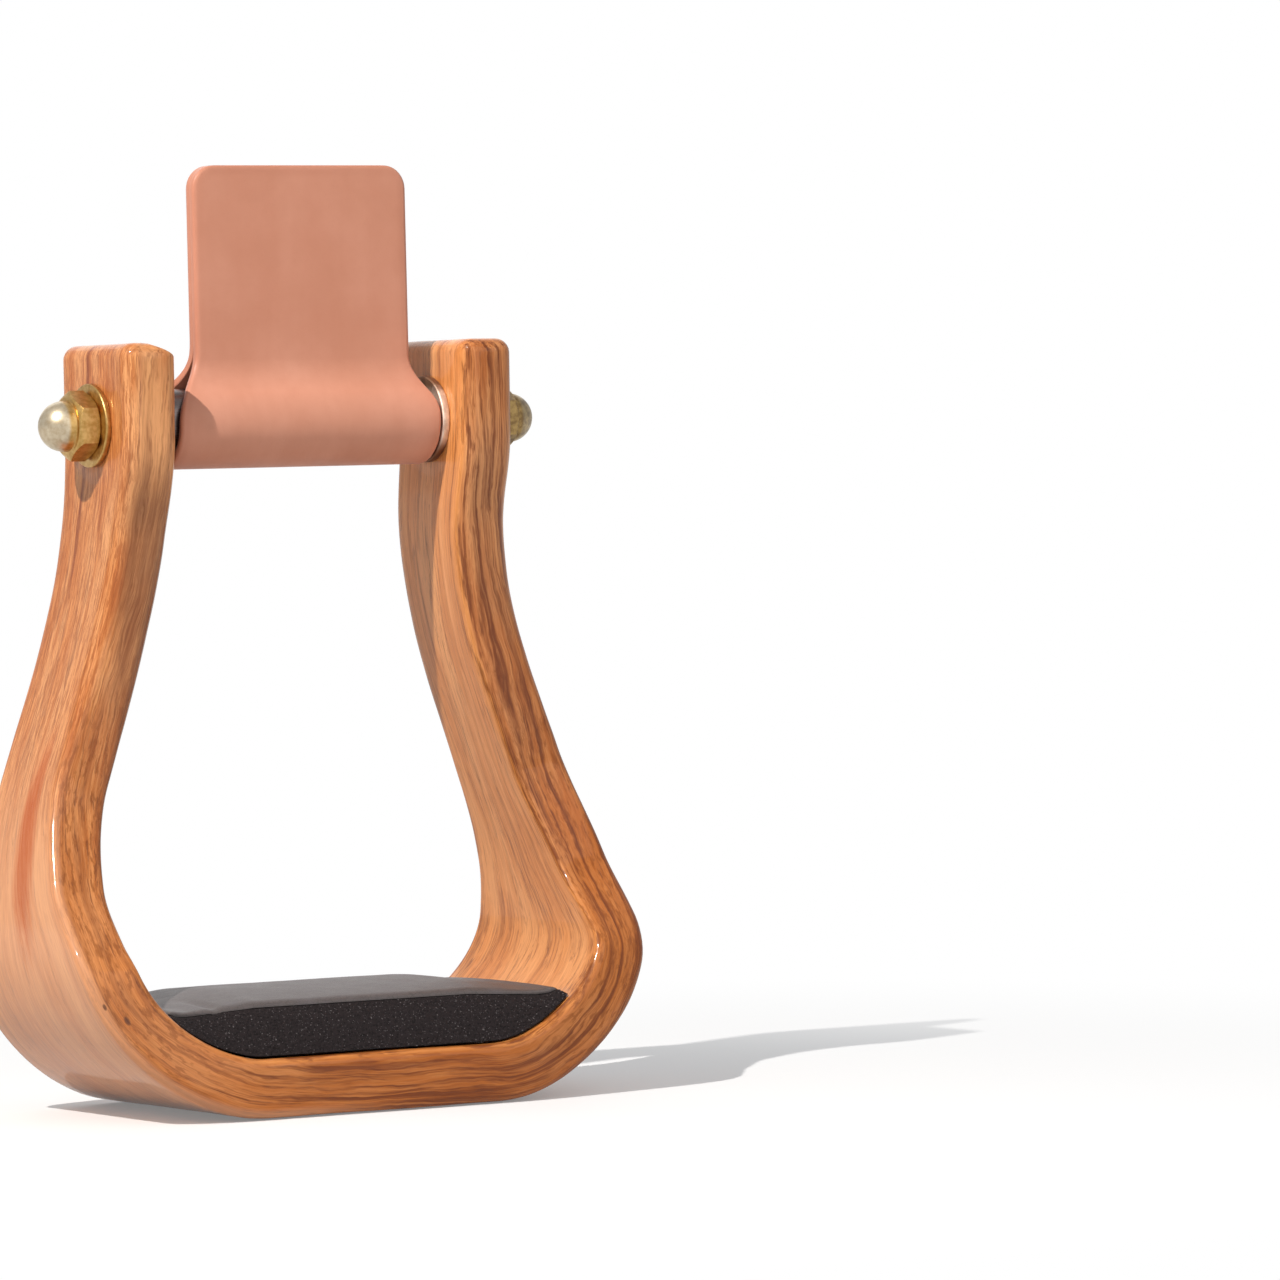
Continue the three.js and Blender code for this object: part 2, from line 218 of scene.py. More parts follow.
def varnished_oak():
    oak = Finish("varnished_oak")
    board = oak.attribute("board", "Vector")
    along, thick, wide = oak.split(board)
    # Growth rings lie askew in the board and wander slowly along it
    drift = oak.cloud(board, (0.008, 0.03, 0.03))
    ripple = oak.cloud(board, (0.036, 0.12, 0.12), 3.0, 0.6)
    wobble = oak.cloud(board, (0.11, 0.25, 0.25))
    radial = thick * 0.8 + wide * 0.34 + drift * 17.0 + ripple * 3.4 + wobble * 1.3
    tangent = wide * 0.8 - thick * 0.34
    ring = (radial / RING_WIDTH + oak.cloud(oak.join(0.0, 0.0, radial * 0.22)) * 1.8).part()
    early = ring.step(0.0, 0.14) * (1 - ring.step(0.16, 0.6))
    fade = oak.cloud(board, (0.014, 0.1, 0.1)).step(0.36, 0.62)
    early = early * (0.25 + fade * 0.75)
    # Long fibres, broad soft streaks, and short dark pores that gather in the early wood
    fibres = oak.cloud(oak.join(along * 0.055, radial * 2.3, tangent * 2.3), 1.0, 4.0, 0.66)
    streaks = oak.cloud(oak.join(along * 0.03, radial * 0.42, tangent * 0.42), 1.0, 5.0, 0.68)
    strokes = oak.cloud(oak.join(along * 0.016, radial * 0.75, tangent * 0.4), 1.0, 4.0, 0.6)
    pores = oak.cloud(oak.join(along * 0.13, radial * 2.4, tangent * 2.4), 1.0, 2.0, 0.6)
    flecks = oak.cloud(oak.join(
        along * 0.24 + thick * 0.35, thick * 0.75 - along * 0.1, wide * 0.35), 1.0, 3.0, 0.62)
    patches = oak.cloud(board, (0.018, 0.07, 0.07), 3.0, 0.6)
    # Where on the bow: the bends, the front edge, both narrow edges, and the inner face
    bend = along.size().step(30, 60) * (1 - along.size().step(115, 165))
    front = 1 - wide.step(-37, -33)
    narrow = wide.size().step(31, 36.5)
    inner = 1 - thick.step(-6.6, -5.5)
    amber = (1 - along.size().step(70, 150)) * (0.3 + narrow * 0.7)
    stroke = (strokes + early * 0.05 + pores * 0.2 + streaks * 0.12 + narrow * 0.06
              + amber * 0.035).step(0.66, 0.9)
    pore = pores.step(0.52, 0.66) * (early + fade * 0.2).held()
    # Painted reflection: the outside of the left bend is painted paler, for the sky it mirrors
    pale = thick.step(4, 6) * along.step(-140, -95) * (1 - along.step(-30, 5))
    # Short fine dashes cover the left leg's outer face above the bend
    dashes = oak.cloud(oak.join(
        along * 0.22, thick * 0.5, wide * 1.15 + along * 0.05), 1.0, 4.0, 0.66)
    leg = thick.step(3, 6) * (1 - along.step(-135, -95))
    # A red stain in the wood, low on the same face
    past = along - STAIN_ALONG
    stain_x = past / STAIN_LENGTH
    stain_y = (wide - STAIN_WIDE - past * STAIN_LEAN) / STAIN_WIDTH
    stain = 1 - (stain_x * stain_x + stain_y * stain_y + streaks * 1.6).step(0.8, 2.2)
    stain = (stain * thick.step(2, 5) * (1 - along.step(-20, -10))
             * (0.7 + fibres.step(0.38, 0.6) * 0.3))
    # Painted shade: the left leg's front edge below the head, lower down only near the inside
    # where its rounded inner corner would turn away from the light
    shade = 1 - (thick + along.step(-182, -118) * 10 + streaks * 4).step(4, 8.5)
    shade = (shade * (1 - wide.step(-33, -25)) * along.step(-202, -188)
             * (1 - along.step(-112, -85)))
    # A dark line of grain down the left leg's outer face, from the head past the nut
    drawn = wide - 3 - along.step(-222, -185) * 7 - ripple * 3
    line = 1 - (drawn.size() + streaks * 1.8).step(1.3, 3.3)
    line = line * (1 - along.step(-188, -152)) * thick.step(4, 6)
    # Two pin knots in the left bend's front
    knots = []
    for at, deep, size in KNOTS:
        knot = ((along - at) * (along - at) * 0.35 + (thick - deep) * (thick - deep)) / size
        knot = knot + pores * 1.2 + (1 - front) * 9
        knots.append(((1 - knot.step(0.7, 1.7)) * 0.8, (74, 36, 18)))
    wood = oak.coats(
        oak.blend(fibres.step(0.3, 0.7), (228, 155, 94), (186, 108, 52)),
        (streaks.step(0.34, 0.7) * 0.62, (168, 86, 32)),
        (patches.step(0.4, 0.66) * 0.52, (236, 175, 120)),
        ((1 - patches.step(0.34, 0.46)) * 0.34, (162, 82, 32)),
        (amber * 0.5, (184, 98, 6)),
        (along.step(-70, 30) * narrow * 0.26, (148, 76, 10)),
        (early * 0.24, (146, 74, 28)),
        (pores.step(0.5, 0.68) * 0.3, (142, 74, 30)),
        (inner * 0.28, (238, 160, 86)),
        (flecks.step(0.5, 0.64) * bend * front * 0.62, (128, 64, 12)),
        (stroke * (0.55 + narrow * 0.35) * (0.4 + along.step(-80, -20) * 0.6), (112, 50, 6)),
        (pore * 0.42, (94, 48, 20)),
        (pale * 0.5, (222, 164, 124)),
        (leg * dashes.step(0.49, 0.58) * 0.6, (148, 76, 32)),
        (stain * 0.95, (178, 80, 10)),
        (shade * (0.42 + fibres.step(0.36, 0.62) * 0.26), (112, 58, 26)),
        (line * (0.55 + fibres.step(0.36, 0.6) * 0.35), (126, 58, 24)),
        *knots)
    return oak.ended(
        Base_Color=wood, Roughness=0.4 + fibres * 0.18, Normal=oak.bump(1 - pore, 0.05),
        Coat_Weight=0.55, Coat_Roughness=0.08, Coat_IOR=1.45, Specular_IOR_Level=0.15)


def bare_leather():
    hide = Finish("bare_leather")
    strip = hide.attribute("board", "Vector")
    above = hide.split(hide.place())[2] - BAR_Z
    rim = hide.attribute("rim", "Fac")
    clouds = hide.cloud(strip, 0.045, 3.0, 0.6)
    draw = hide.cloud(strip, (0.025, 0.5, 0.16))
    mottle = hide.cloud(strip, 0.4)
    fine = hide.cloud(strip, 1.6)
    pits = hide.cells(hide.shift(strip, hide.join(mottle, fine, fine)), 1.3)
    # The cut edges are rubbed round and shine; just inside them the face is a little darker
    inside = rim.step(0.6, 1.4) * (1 - rim.step(1.6, 3.0))
    cut = 1 - rim.step(0.25, 0.9)
    shade = hide.coats(
        hide.blend(clouds.step(0.3, 0.7), (210, 146, 120), (201, 136, 109)),
        (above.step(10, 26) * 0.22, (184, 119, 93)),
        (draw.step(0.3, 0.7) * 0.22, (190, 122, 94)),
        (mottle.step(0.4, 0.8) * 0.1, (192, 122, 95)),
        ((1 - pits.step(0.0, 0.4)) * 0.06, (176, 106, 82)),
        (inside * 0.12, (180, 112, 86)),
        (cut * 0.5, (192, 124, 98)))
    return hide.ended(
        Base_Color=shade, Roughness=0.5 + mottle * 0.16 - cut * 0.18,
        Normal=hide.bump(pits.step(0.0, 0.5) * 0.4 + mottle, 0.015),
        Specular_IOR_Level=0.3, Sheen_Weight=0.12, Sheen_Roughness=0.5)


def black_foam():
    foam = Finish("black_foam")
    place = foam.place()
    bent = foam.shift(place, foam.node(
        "ShaderNodeTexNoise", {"Vector": place, "Scale": 1.1}, "Color"))
    holes = foam.cells(bent, 1.25)
    small = foam.cells(foam.shift(bent, (3.1, 1.7, 9.2)), 2.7)
    specks = foam.cells(foam.shift(bent, (8.3, 2.9, 5.7)), 1.7)
    grain = foam.cloud(place, 1.6, 4.0, 0.7)
    cell = holes.step(0.12, 0.55) * 0.6 + small.step(0.1, 0.5) * 0.4
    speck = (1 - specks.step(0.12, 0.3)) * grain.step(0.44, 0.58)
    shade = foam.coats(
        foam.blend(cell, (14, 10, 11), (35, 28, 29)),
        (grain.step(0.45, 0.75) * 0.35, (52, 45, 46)),
        (speck * 0.7, (128, 122, 122)))
    return foam.ended(
        Base_Color=shade, Roughness=0.7 + grain * 0.25, Specular_IOR_Level=0.2,
        Normal=foam.bump(cell * 0.8 + grain * 0.7, 0.4))


def creased_skin():
    skin = Finish("creased_skin")
    place = skin.place()
    lean = skin.cloud(place, 0.3)
    bent = skin.shift(place, skin.join(lean * 4.0, lean * 3.0, 0.0))
    creases = skin.cells(skin.stretch(bent, 0.55, 0.85, 0.7), 1.0, "DISTANCE_TO_EDGE")
    fine = skin.cells(bent, 1.9, "DISTANCE_TO_EDGE")
    dust = skin.cloud(place, 0.2, 4.0, 0.6)
    crease = creases.step(0.0, 0.1) * 0.35 + fine.step(0.0, 0.14) * 0.25 + 0.4
    shade = skin.coats(
        skin.blend(crease, (48, 43, 44), (84, 76, 74)),
        (dust.step(0.42, 0.8) * 0.4, (100, 94, 98)))
    return skin.ended(
        Base_Color=shade, Roughness=0.42 + dust * 0.22, Specular_IOR_Level=0.55,
        Normal=skin.bump(crease, 0.06))


def satin_brass():
    """Golden brass; the nuts' domes are polished paler."""
    brass = Finish("satin_brass")
    place = brass.place()
    across = brass.split(place)[0]
    rub = brass.cloud(place, 0.6, 3.0, 0.6)
    fine = brass.cloud(place, (9.0, 9.0, 9.0))
    pale = across.size().step(DOME_POLISH - 0.4, DOME_POLISH + 0.6)
    golden = brass.blend(rub.step(0.3, 0.7), (208, 170, 108), (176, 136, 74))
    domed = brass.blend(rub.step(0.3, 0.7), (214, 199, 172), (190, 170, 140))
    # Painted shade: the right nut is painted darker, for the head's shadow and the dark it mirrors
    shaded_brass = brass.blend(rub.step(0.35, 0.65), (150, 126, 82), (96, 80, 62))
    shade = brass.blend(across.step(0, 1) * 0.7, brass.blend(pale, golden, domed), shaded_brass)
    return brass.ended(
        Metallic=1.0, Base_Color=shade, Roughness=0.27 + rub * 0.16, Normal=brass.bump(fine, 0.01))


def zinc_plate():
    zinc = Finish("zinc_plate")
    place = zinc.place()
    rub = zinc.cloud(place, 0.5, 3.0, 0.6)
    fine = zinc.cloud(place, (2.0, 8.0, 8.0), 3.0)
    zinc_colour = zinc.blend(rub.step(0.3, 0.7), (240, 224, 208), (214, 192, 174))
    # Painted shade: the left ring is dark all over, the right one above and below the bar
    # where the head and the leather shade them; its brown is a painted reflection of the wood
    across, _, height = zinc.split(place)
    height = height - BAR_Z + rub * 3
    bright = across.step(-1, 1) * height.step(-6.5, -2.5) * (1 - height.step(7, 10))
    shaded_zinc = zinc.blend(across.step(-1, 1), (98, 74, 62), (146, 108, 82))
    return zinc.ended(
        Metallic=1.0, Base_Color=zinc.blend(bright, shaded_zinc, zinc_colour),
        Roughness=0.52 + rub * 0.18, Normal=zinc.bump(fine, 0.012))


def drawn_steel():
    steel = Finish("drawn_steel")
    place = steel.place()
    lines = steel.cloud(place, (0.2, 6.0, 6.0), 3.0)
    stain = steel.cloud(place, 0.2)
    shade = steel.blend(stain.step(0.3, 0.7), (126, 116, 114), (104, 94, 92))
    return steel.ended(
        Metallic=1.0, Base_Color=shade, Roughness=0.2 + lines * 0.18,
        Normal=steel.bump(lines, 0.01))


OAK, LEATHER, FOAM, SKIN = varnished_oak(), bare_leather(), black_foam(), creased_skin()
BRASS, ZINC, STEEL = satin_brass(), zinc_plate(), drawn_steel()


# Meshes and pieces

def new_mesh(name, points, faces, edges=()):
    """A mesh from points in millimetres."""
    mesh = bpy.data.meshes.new(name)
    mesh.from_pydata([(x * MM, y * MM, z * MM) for x, y, z in points], edges, faces)
    return mesh


def keep(mesh, name, values, kind="FLOAT"):
    """Stores a value, or a vector, for each point of a mesh."""
    layer = mesh.attributes.get(name) or mesh.attributes.new(name, kind, "POINT")
    layer.data.foreach_set("value" if kind == "FLOAT" else "vector", values)


def face_outwards(mesh, merge=0):
    """Turns all faces outwards, after points closer than merge, in metres, became one."""
    work = bmesh.new()
    work.from_mesh(mesh)
    if merge:
        bmesh.ops.remove_doubles(work, verts=work.verts, dist=merge)
    bmesh.ops.recalc_face_normals(work, faces=work.faces)
    if work.calc_volume(signed=True) < 0:
        bmesh.ops.reverse_faces(work, faces=work.faces)
    work.to_mesh(mesh)
    work.free()


def put(name, data):
    """A new object in the scene."""
    thing = bpy.data.objects.new(name, data)
    bpy.context.scene.collection.objects.link(thing)
    return thing


def plain(thing, name, *helpers):
    """The mesh that an object's modifiers make of it; the object and its helpers are removed."""
    graph = bpy.context.evaluated_depsgraph_get()
    mesh = bpy.data.meshes.new_from_object(thing.evaluated_get(graph))
    mesh.name = name
    thing.modifiers.clear()
    for old in (thing, *helpers):
        bpy.data.objects.remove(old)
    return mesh


def finished(name, mesh, material, node, crisp=0, body="stirrup"):
    """Makes a mesh into a piece that rides on a body and stands for a CAD node. Its edges are
    crisp where faces meet at more than the angle crisp."""
    piece = put(name, mesh)
    face_outwards(mesh)
    mesh.materials.clear()
    mesh.materials.append(material)
    mesh.polygons.foreach_set("use_smooth", [True] * len(mesh.polygons))
    if crisp:
        mesh.set_sharp_from_angle(angle=radians(crisp))
    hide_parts(node)
    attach(piece, body)
    return piece


def walls(count, rings):
    """The faces between closed rings of points; the last ring leads back to the first."""
    for ring in range(rings):
        here, after = ring * count, (ring + 1) % rings * count
        for side in range(count):
            following = (side + 1) % count
            yield here + side, here + following, after + following, after + side


def lofted(name, rings):
    """A mesh through closed rings of points, with its ends closed by fans."""
    count = len(rings[0])
    points = [point for ring in rings for point in ring]
    faces = list(walls(count, len(rings)))
    ends, faces = faces[-count:], faces[:-count]
    for ring, a, b in ((0, 2, 3), (-1, 0, 1)):
        faces += [(len(points), face[a], face[b]) for face in ends]
        points.append(tuple(np.mean(np.array(rings[ring]), axis=0)))
    return new_mesh(name, points, faces)


# The bow's line and edges

BOW_HEIGHT, WOOD, NECK_GAP, BEND_GAP = 180.0, 14.0, 76.0, 123.0
WIDEST, NECK_STRAIGHT, TREAD_FLAT = 41.0, 33.0, 60.0
HEAD_DEPTH, TREAD_DEPTH = 36.0, 76.0
HEAD_EDGE, LOWER_EDGE, HEAD_END = 4.0, 2.2, 3.5
NECK_FRONT, NECK_BACK, BEND_FRONT, BEND_BACK = 9.3, 22.0, 35.3, 25.5
NECK_X, WIDEST_X = (NECK_GAP + WOOD) / 2, (BEND_GAP + WOOD) / 2
INNER_X, OUTER_X = NECK_GAP / 2, NECK_GAP / 2 + WOOD
# How far the line's curves hold their direction at the neck, the widest place, below it and
# at the tread, as shares; points on each curve; and how far off its direction is measured
LEG_HOLD, WIDEST_HOLD, BEND_HOLD, TREAD_HOLD = 0.42, 0.78, 0.54, 0.45
CURVE_POINTS, NEARBY = 600, 0.3


def bezier(p0, p1, p2, p3, count):
    t = np.linspace(0, 1, count)[:, None]
    p0, p1, p2, p3 = (np.array(p) for p in (p0, p1, p2, p3))
    return ((1 - t) ** 3 * p0 + 3 * (1 - t) ** 2 * t * p1
            + 3 * (1 - t) * t ** 2 * p2 + t ** 3 * p3)


def half_line():
    """The bow's centre line, from the right head to the middle of the tread, as (x, z)."""
    low, neck = WOOD / 2, BOW_HEIGHT - NECK_STRAIGHT
    leg, bend = LEG_HOLD * (neck - WIDEST), WIDEST - low
    reach = TREAD_HOLD * (WIDEST_X - TREAD_FLAT / 2)
    upper = bezier((NECK_X, neck), (NECK_X, neck - leg), (WIDEST_X, WIDEST + WIDEST_HOLD * leg),
                   (WIDEST_X, WIDEST), CURVE_POINTS)
    lower = bezier((WIDEST_X, WIDEST), (WIDEST_X, WIDEST - BEND_HOLD * bend),
                   (TREAD_FLAT / 2 + reach, low), (TREAD_FLAT / 2, low), CURVE_POINTS)
    return np.vstack([[(NECK_X, BOW_HEIGHT)], upper, lower[1:], [(0, low)]])


LINE = half_line()
RUNS = np.concatenate([[0], np.cumsum(np.hypot(*np.diff(LINE, axis=0).T))])
HALF = RUNS[-1]


def through(stations, place):
    """A smooth curve through (place, value) stations, which never swings past its values."""
    places, values = zip(*stations)
    place = min(max(place, places[0]), places[-1])
    slopes = [(values[k + 1] - values[k]) / (places[k + 1] - places[k])
              for k in range(len(stations) - 1)]
    leans = [0, *(0 if a * b <= 0 else 2 * a * b / (a + b) for a, b in zip(slopes, slopes[1:])), 0]
    k = next(k for k, end in enumerate(places[1:]) if place <= end)
    width = places[k + 1] - places[k]
    t = (place - places[k]) / width
    rise = t * t * (3 - 2 * t)
    return (values[k] * (1 - rise) + values[k + 1] * rise
            + width * t * (1 - t) * ((1 - t) * leans[k] - t * leans[k + 1]))


# Half the depth in front of and behind the bar, and the rounding of the edges, by the share of
# the way from a head to the middle of the tread
TREAD_FRONT, TREAD_BACK = TREAD_DEPTH / 2 + BAR_Y, TREAD_DEPTH / 2 - BAR_Y
FRONT_EDGE = [
    (0, HEAD_DEPTH / 2), (0.1, HEAD_DEPTH / 2 - 0.3), (0.2, NECK_FRONT + 2.8),
    (0.32, NECK_FRONT), (0.45, NECK_FRONT - 0.3),
    (0.56, NECK_FRONT + 0.33 * (BEND_FRONT - NECK_FRONT)), (0.66, BEND_FRONT),
    (0.76, TREAD_FRONT - 2), (0.86, TREAD_FRONT)]
BACK_EDGE = [
    (0, HEAD_DEPTH / 2), (0.1, HEAD_DEPTH / 2), (0.2, NECK_BACK - 1.5),
    (0.32, NECK_BACK), (0.45, NECK_BACK), (0.56, NECK_BACK + 0.5), (0.66, BEND_BACK),
    (0.76, BEND_BACK + 0.35 * (TREAD_BACK - BEND_BACK)), (0.86, TREAD_BACK - 1.5),
    (0.96, TREAD_BACK)]
EDGE = [(0, HEAD_EDGE), (0.25, HEAD_EDGE), (0.5, LOWER_EDGE), (1, LOWER_EDGE)]


def on_line(run):
    return np.interp(run, RUNS, LINE[:, 0]), np.interp(run, RUNS, LINE[:, 1])


def bow_place(share, side):
    """The centre line at a share of the way from a head to the middle of the tread."""
    run = min(max(share, 0), 1) * HALF
    x, z = on_line(run)
    (ax, az), (bx, bz) = on_line(max(run - NEARBY, 0)), on_line(min(run + NEARBY, HALF))
    length = hypot(bx - ax, bz - az)
    tx, tz = (bx - ax) / length, (bz - az) / length
    return Measures(
        at=(side * x, z), out=(side * -tz, tx), along=(side * tx, tz),
        front=through(FRONT_EDGE, share), back=through(BACK_EDGE, share),
        edge=through(EDGE, share), run=side * (HALF - run))


# Swept strips: the bow and the leather cover

SECTION_RULE = ("corner_thick", "corner_wide", "arc_thick", "arc_wide")
STATION_LENGTHS = ("low", "high", "near", "far", "edge", "tip", "run")
SPENT = (*SECTION_RULE, *STATION_LENGTHS, "tight", "middle", "outward")


def section_mesh(wide_points, thick_points, corner_points):
    """A section's rule: each point's corner and its place on the arc, for the tree to size."""
    rule = []
    corners = [(1, 1), (-1, 1), (-1, -1), (1, -1)]
    for k, (thick, wide) in enumerate(corners):
        for step in range(corner_points + 1):
            angle = (k + step / corner_points) * pi / 2
            rule.append((thick, wide, cos(angle), sin(angle)))
        after = corners[(k + 1) % 4]
        between = wide_points if after[0] == thick else thick_points
        end = (k + 1) * pi / 2
        for step in range(1, between + 1):
            share = step / (between + 1)
            rule.append((thick + (after[0] - thick) * share, wide + (after[1] - wide) * share,
                         round(cos(end)), round(sin(end))))
    count = len(rule)
    mesh = new_mesh("section", [(10 * cos(k), 10 * sin(k), 0) for k in range(count)], [], [
        (k, (k + 1) % count) for k in range(count)])
    for column, name in enumerate(SECTION_RULE):
        keep(mesh, name, [row[column] for row in rule])
    return put("section", mesh)


def strip_tree():
    """Geometry nodes that sweep a rounded section along a line, sized by the line's points."""
    group = bpy.data.node_groups.new("swept_strip", "GeometryNodeTree")
    kinds = {"Line": "Geometry", "Section": "Object", "Across": "Vector", "Material": "Material"}
    for name, kind in kinds.items():
        group.interface.new_socket(name, in_out="INPUT", socket_type="NodeSocket" + kind)
    group.interface.new_socket("Strip", in_out="OUTPUT", socket_type="NodeSocketGeometry")
    tree = Tree(group)
    line, section, across, material = (tree.node("NodeGroupInput", (), name) for name in kinds)

    def named(name, kind="FLOAT"):
        return tree.node("GeometryNodeInputNamedAttribute", {"Name": name}, data_type=kind)

    def stored(shape, name, value, kind="FLOAT"):
        return tree.node("GeometryNodeStoreNamedAttribute", {
            "Geometry": shape, "Name": name, "Value": value}, data_type=kind, domain="POINT")

    shape = tree.node("GeometryNodeObjectInfo", {"Object": section}, "Geometry")
    swept = tree.node("GeometryNodeCurveToMesh", {
        "Curve": tree.node("GeometryNodeMeshToCurve", {"Mesh": line}),
        "Profile Curve": tree.node("GeometryNodeMeshToCurve", {"Mesh": shape}),
        "Fill Caps": True})
    low, high, near, far = (named(name) for name in ("low", "high", "near", "far"))
    corner_thick, corner_wide, arc_thick, arc_wide = (named(name) for name in SECTION_RULE)
    edge = named("edge") * (1 - named("tight") * (1 - arc_thick) * 0.5).held()
    half_thick, half_wide = (high - low) * 0.5, (far - near) * 0.5
    thick = (high + low) * 0.5 + corner_thick * (half_thick - edge) + arc_thick * edge
    wide = (far + near) * 0.5 + corner_wide * (half_wide - edge) + arc_wide * edge
    offset = tree.shift(
        tree.scaled(named("outward", "FLOAT_VECTOR"), thick), tree.scaled(across, wide))
    placed = tree.node("GeometryNodeSetPosition", {
        "Geometry": swept, "Position": tree.shift(named("middle", "FLOAT_VECTOR"), offset)})
    board = tree.scaled(tree.join(named("run"), thick, wide), 1000.0)
    rim = (far - wide).least(wide - near).least(named("tip")) * 1000.0
    kept = stored(stored(placed, "board", board, "FLOAT_VECTOR"), "rim", rim)
    whole = tree.node("GeometryNodeRealizeInstances", {"Geometry": kept})
    coated = tree.node("GeometryNodeSetMaterial", {"Geometry": whole, "Material": material})
    tree.node("NodeGroupOutput", [coated])
    return group


STRIP_TREE = strip_tree()


def swept_strip(name, stations, across, section, material):
    """A strip swept through stations: each has its middle and outward direction, its faces (low,
    high), sides (near, far), their rounding (edge, tight), and its way to the tip and along."""
    mesh = new_mesh(name, [s["middle"] for s in stations], [], [
        (k, k + 1) for k in range(len(stations) - 1)])
    for key in STATION_LENGTHS:
        keep(mesh, key, [s[key] * MM for s in stations])
    keep(mesh, "tight", [s.get("tight", 0) for s in stations])
    for key, scale in (("middle", MM), ("outward", 1.0)):
        keep(mesh, key, [c * scale for s in stations for c in s[key]], "FLOAT_VECTOR")
    line = put(name + "_line", mesh)
    modifier = line.modifiers.new("strip", "NODES")
    modifier.node_group = STRIP_TREE
    names = {item.name: item.identifier for item in STRIP_TREE.interface.items_tree}
    modifier[names["Section"]] = section
    modifier[names["Across"]] = across
    modifier[names["Material"]] = material
    made = plain(line, name, section)
    for key in [a.name for a in made.attributes if a.name in SPENT]:
        made.attributes.remove(made.attributes[key])
    return made


# The oak bow

BOW_RINGS, HEAD_STEPS, DRILL_REACH = 190, 6, 60
BOARD_SAMPLES, BOARD_LOT = 900, 4000
# The worn corner: how deep it is cut, where the head begins, and how softly the cut starts
HEAD_CUT, HEAD_FROM, CUT_EASE = 4.0, 165, 1.2
# Sanding: how far the wood is under size, its slow and quick waves, and the least it takes off
SANDED, SLOW_WAVE, QUICK_WAVE, LEAST = 0.14, (0.13, 0.045), (0.05, 0.14), 0.02
UNSANDED = 12    # the washers' seats, this far round the bar, stay flat


def lay_board(mesh):
    """Gives each point its place in the straight board; the grain keeps to the legs' edges."""
    spots = np.empty(len(mesh.vertices) * 3)
    mesh.vertices.foreach_get("co", spots)
    spots = spots.reshape(-1, 3) / MM
    side = np.where(spots[:, 0] < 0, -1.0, 1.0)
    shares = np.linspace(0, 1, BOARD_SAMPLES)
    runs = shares * HALF
    line = np.column_stack(on_line(runs))
    steps = np.gradient(line, axis=0)
    steps /= np.hypot(*steps.T)[:, None]
    board = np.empty_like(spots)
    edges = np.array([(-through(FRONT_EDGE, k), through(BACK_EDGE, k)) for k in shares])
    middle, half = edges.mean(axis=1), (edges[:, 1] - edges[:, 0]) / 2
    for start in range(0, len(spots), BOARD_LOT):
        part = slice(start, start + BOARD_LOT)
        x, z = np.abs(spots[part, 0]), spots[part, 2]
        gap = (x[:, None] - line[:, 0]) ** 2 + (z[:, None] - line[:, 1]) ** 2
        best = gap.argmin(axis=1)
        away = np.column_stack([x, z]) - line[best]
        forward = (away * steps[best]).sum(axis=1)
        board[part, 0] = side[part] * (HALF - runs[best] - forward)
        board[part, 1] = away[:, 1] * steps[best, 0] - away[:, 0] * steps[best, 1]
        board[part, 2] = TREAD_DEPTH / 2 * (spots[part, 1] - BAR_Y - middle[best]) / half[best]
    keep(mesh, "board", board.astype(np.float32).ravel(), "FLOAT_VECTOR")


def bow_station(share, side, inset=0.0, slide=0.0):
    """A station of the bow, drawn in by inset and moved on towards the tread by slide."""
    place = bow_place(share, side)
    (x, z), (ax, az), (ox, oz) = place.at, place.along, place.out
    return dict(
        middle=(x + ax * slide, BAR_Y, z + az * slide), outward=(ox, 0, oz),
        low=-WOOD / 2 + inset, high=WOOD / 2 - inset, near=-place.front + inset,
        far=place.back - inset, edge=max(place.edge - inset, 0.5), tip=99.0,
        run=place.run - side * slide)


def half_bow(side, last):
    """Stations from a head's rounded end to the last ring before or at the middle."""
    stations = []
    for step in range(HEAD_STEPS + 1):
        angle = step / HEAD_STEPS * pi / 2
        stations.append(bow_station(
            0, side, HEAD_END * (1 - sin(angle)), HEAD_END * (1 - cos(angle))))
    start = HEAD_END / HALF
    return stations + [
        bow_station(start + (1 - start) * k / BOW_RINGS, side) for k in range(1, last + 1)]


def worn_corner(board, spot):
    """How far a point on the left head's inner top corner is worn down."""
    proud = HEAD_CUT - (board[1] + WOOD / 2) * 0.5 - (BOW_HEIGHT - spot.z)
    if spot.x > 0 or spot.z < HEAD_FROM or proud <= 0:
        return 0.0
    return proud * proud / (proud + CUT_EASE)


def soften(mesh):
    """The wood was shaped and sanded by hand: it is never quite flat, and a hair under size."""
    moved = []
    boards = mesh.attributes["board"].data
    for vertex in mesh.vertices:
        spot = vertex.co * 1000
        if hypot(spot.y - BAR_Y, spot.z - BAR_Z) < UNSANDED:
            moved.append(vertex.co.copy())
            continue
        dip = SANDED
        for height, scale in (SLOW_WAVE, QUICK_WAVE):
            dip += height * noise.noise(spot * scale)
        worn = Vector((0, 0, worn_corner(boards[vertex.index].vector, spot) * MM))
        moved.append(vertex.co - vertex.normal * max(dip, LEAST) * MM - worn)
    for vertex, spot in zip(mesh.vertices, moved):
        vertex.co = spot


def make_bow():
    stations = half_bow(1, BOW_RINGS) + half_bow(-1, BOW_RINGS - 1)[::-1]
    mesh = swept_strip("oak_bow", stations, (0, 1, 0), section_mesh(14, 3, 6), OAK)
    tool = put("drill", turned("drill", [
        (0, -DRILL_REACH), (BORE, -DRILL_REACH), (BORE, DRILL_REACH), (0, DRILL_REACH)], 48))
    block = put("block", mesh)
    cut = block.modifiers.new("holes", "BOOLEAN")
    cut.operation, cut.object, cut.solver = "DIFFERENCE", tool, "MANIFOLD"
    drilled = plain(block, "oak_bow", tool)
    lay_board(drilled)
    finished("oak_bow", drilled, OAK, "bow")
    soften(drilled)
    drilled.set_sharp_from_angle(angle=radians(50))


# The metal, turned about the bar

